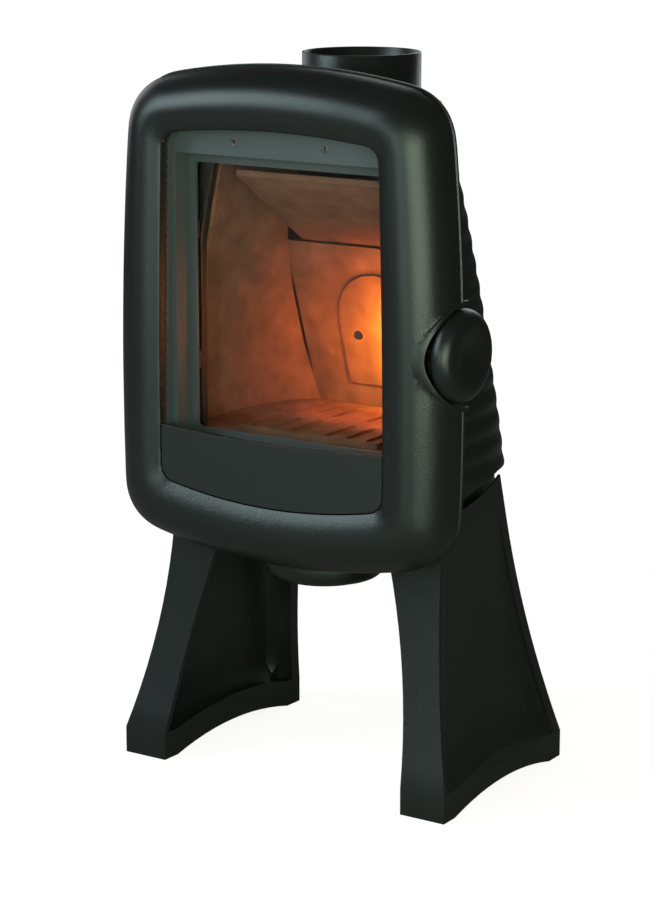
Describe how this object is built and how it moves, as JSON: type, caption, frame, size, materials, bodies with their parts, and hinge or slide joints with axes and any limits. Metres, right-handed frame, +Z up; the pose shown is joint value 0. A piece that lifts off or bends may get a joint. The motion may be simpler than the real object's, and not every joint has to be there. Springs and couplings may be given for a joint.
{
  "type": "cast iron wood stove",
  "caption": "Free-standing cast iron wood stove on splayed legs, with a round-edged glazed door ring, a ribbed barrel body, a side turn handle, a flue collar and a dish-shaped air valve.",
  "frame": {"origin": "on the floor under the middle of the stove's bounding box, which is the middle plane of the body to within 5 mm", "axes": "+Z up, -Y out through the door, +X to the right of someone facing the door"},
  "size_m": [0.5146, 0.3483, 0.934],
  "materials": {
    "black_cast_iron": "satin anthracite heat-proof paint over fine-grained sand castings",
    "grey_cast_iron": "lighter grey painted casting of the window frame",
    "firebox_iron": "bare iron with heat scale",
    "panel_paint": "flat satin black paint",
    "glass": "clear ceramic stove glass",
    "rope": "glass-fibre sealing rope and tape",
    "steel": "plain steel, lightly oxidised"
  },
  "bodies": {
    "stove": {"leg_left": "black_cast_iron", "leg_right": "black_cast_iron", "base_plate": "black_cast_iron", "lower_shell": "black_cast_iron", "front_frame": "black_cast_iron", "side_panel_left": "black_cast_iron", "side_panel_right": "black_cast_iron", "back_panel": "black_cast_iron", "top_plate": "black_cast_iron", "flue_collar": "black_cast_iron", "side_liner_left": "firebox_iron", "side_liner_right": "firebox_iron", "rear_liner": "firebox_iron", "liner_screw_left": "steel", "liner_screw_right": "steel", "baffle_plate": "firebox_iron", "hearth_plate": "firebox_iron", "grate_left": "firebox_iron", "grate_right": "firebox_iron", "pan_carrier": "steel", "ash_pan": "steel", "hinge_bracket_lower": "black_cast_iron", "hinge_bracket_upper": "black_cast_iron", "hinge_pin_lower": "steel", "hinge_pin_upper": "steel", "latch_keeper": "steel", "leg_bolt_1": "steel", "leg_bolt_2": "steel", "leg_bolt_3": "steel", "leg_bolt_4": "steel", "air_inlet_plate": "black_cast_iron", "air_valve_stud": "steel"},
    "door": {"door_ring": "black_cast_iron", "window_frame": "grey_cast_iron", "window_screw_left": "steel", "window_screw_right": "steel", "frame_seal": "rope", "glass_pane": "glass", "glass_seal": "rope", "glass_clip_1": "steel", "glass_clip_2": "steel", "glass_clip_3": "steel", "glass_clip_4": "steel", "door_rope": "rope", "lower_panel": "panel_paint", "hinge_lug_lower": "black_cast_iron", "hinge_lug_upper": "black_cast_iron", "handle_bearing": "black_cast_iron"},
    "handle": {"handle_knob": "black_cast_iron", "handle_spindle": "steel", "latch_tongue": "steel"},
    "air_valve": {"air_valve_dish": "black_cast_iron", "air_valve_grip": "black_cast_iron", "air_shutter": "steel"}
  },
  "joints": [
    {"name": "door_hinge", "type": "hinge", "parent": "stove", "child": "door", "pos_m": [-0.236, -0.1, 0.6], "axis": [0, 0, -1], "range_deg": [0, 110]},
    {"name": "handle_turn", "type": "hinge", "parent": "door", "child": "handle", "pos_m": [0.2325, -0.108, 0.589], "axis": [-1, 0, 0], "range_deg": [0, 90]},
    {"name": "air_valve_turn", "type": "hinge", "parent": "stove", "child": "air_valve", "pos_m": [0, -0.038, 0.27], "axis": [0, 0, 1], "range_deg": [0, 30]}
  ]
}
